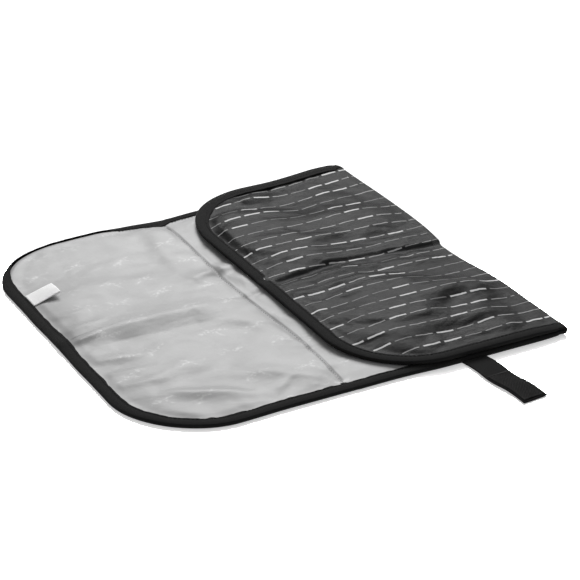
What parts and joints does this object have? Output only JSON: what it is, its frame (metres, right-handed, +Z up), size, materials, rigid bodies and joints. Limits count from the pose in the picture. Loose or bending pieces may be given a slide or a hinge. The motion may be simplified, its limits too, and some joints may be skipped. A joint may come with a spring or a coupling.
{
  "type": "folding changing mat",
  "caption": "Padded travel changing mat with rounded corners and bound edges that folds in three, then in half, and is held shut by a hook-and-loop strap.",
  "frame": {"origin": "on the rest plane under the near edge of the middle panel, half way between its two cross seams", "axes": "+X runs along the mat from the open left panel to the fold on the right, +Y runs from the near edge to the far edge, +Z is up; at rest the right panel lies folded over the middle one"},
  "size_m": [0.4097, 0.488, 0.0084],
  "materials": {
    "outer_cloth": "satin",
    "lining": "satin",
    "foam": "matte",
    "binding": "matte",
    "binding_thread": "satin",
    "seam_thread": "satin",
    "patch_thread": "satin",
    "webbing": "matte",
    "hook_tape": "matte",
    "loop_patch": "matte",
    "label": "satin"
  },
  "bodies": {
    "middle_near": {"middle_near_shell": "outer_cloth", "middle_near_foam": "foam", "middle_near_lining": "lining", "middle_near_binding": "binding", "middle_near_binding_thread": "binding_thread", "left_seam_thread_near": "seam_thread", "right_seam_thread_near": "seam_thread"},
    "middle_far": {"middle_far_shell": "outer_cloth", "middle_far_foam": "foam", "middle_far_lining": "lining", "middle_far_binding": "binding", "middle_far_binding_thread": "binding_thread", "left_seam_thread_far": "seam_thread", "right_seam_thread_far": "seam_thread", "loop_patch": "loop_patch", "loop_patch_thread": "patch_thread"},
    "left_near": {"left_near_shell": "outer_cloth", "left_near_foam": "foam", "left_near_lining": "lining", "left_near_binding": "binding", "left_near_binding_thread": "binding_thread"},
    "left_far": {"left_far_shell": "outer_cloth", "left_far_foam": "foam", "left_far_lining": "lining", "left_far_binding": "binding", "left_far_binding_thread": "binding_thread"},
    "right_near": {"right_near_shell": "outer_cloth", "right_near_foam": "foam", "right_near_lining": "lining", "right_near_binding": "binding", "right_near_binding_thread": "binding_thread"},
    "right_far": {"right_far_shell": "outer_cloth", "right_far_foam": "foam", "right_far_lining": "lining", "right_far_binding": "binding", "right_far_binding_thread": "binding_thread"},
    "strap_rise": {"strap_rise": "webbing"},
    "strap_tab": {"strap_tab": "webbing", "hook_tape": "hook_tape", "hook_tape_thread": "patch_thread"},
    "label": {"care_label": "label"}
  },
  "joints": [
    {"name": "crease_fold", "type": "hinge", "parent": "middle_near", "child": "middle_far", "pos_m": [0, 0.2, 0.0136], "axis": [1, 0, 0], "range_deg": [0, 179.98]},
    {"name": "left_fold", "type": "hinge", "parent": "middle_near", "child": "left_near", "pos_m": [-0.109, 0.1, 0.00665], "axis": [0, 1, 0], "range_deg": [0, 179.98]},
    {"name": "left_fold_far", "type": "hinge", "parent": "middle_far", "child": "left_far", "pos_m": [-0.109, 0.3, 0.00665], "axis": [0, 1, 0], "range_deg": [0, 179.98]},
    {"name": "right_fold", "type": "hinge", "parent": "middle_near", "child": "right_near", "pos_m": [0.109, 0.1, 0.0042], "axis": [0, -1, 0], "range_deg": [-179.98, 0]},
    {"name": "right_fold_far", "type": "hinge", "parent": "middle_far", "child": "right_far", "pos_m": [0.109, 0.3, 0.0042], "axis": [0, -1, 0], "range_deg": [-179.98, 0]},
    {"name": "strap_lift", "type": "hinge", "parent": "middle_near", "child": "strap_rise", "pos_m": [0.013, -0.0002, 0.00165], "axis": [-1, 0, 0], "range_deg": [0, 90]},
    {"name": "strap_wrap", "type": "hinge", "parent": "strap_rise", "child": "strap_tab", "pos_m": [0.013, -0.02695, 0.00165], "axis": [-1, 0, 0], "range_deg": [0, 90]},
    {"name": "label_flip", "type": "hinge", "parent": "left_far", "child": "label", "pos_m": [-0.2884, 0.29, 0.00415], "axis": [0, 1, 0], "range_deg": [-140, 0]}
  ],
  "couplings": [
    {"joint": "left_fold_far", "follows": "left_fold", "ratio": 1},
    {"joint": "right_fold_far", "follows": "right_fold", "ratio": 1}
  ]
}
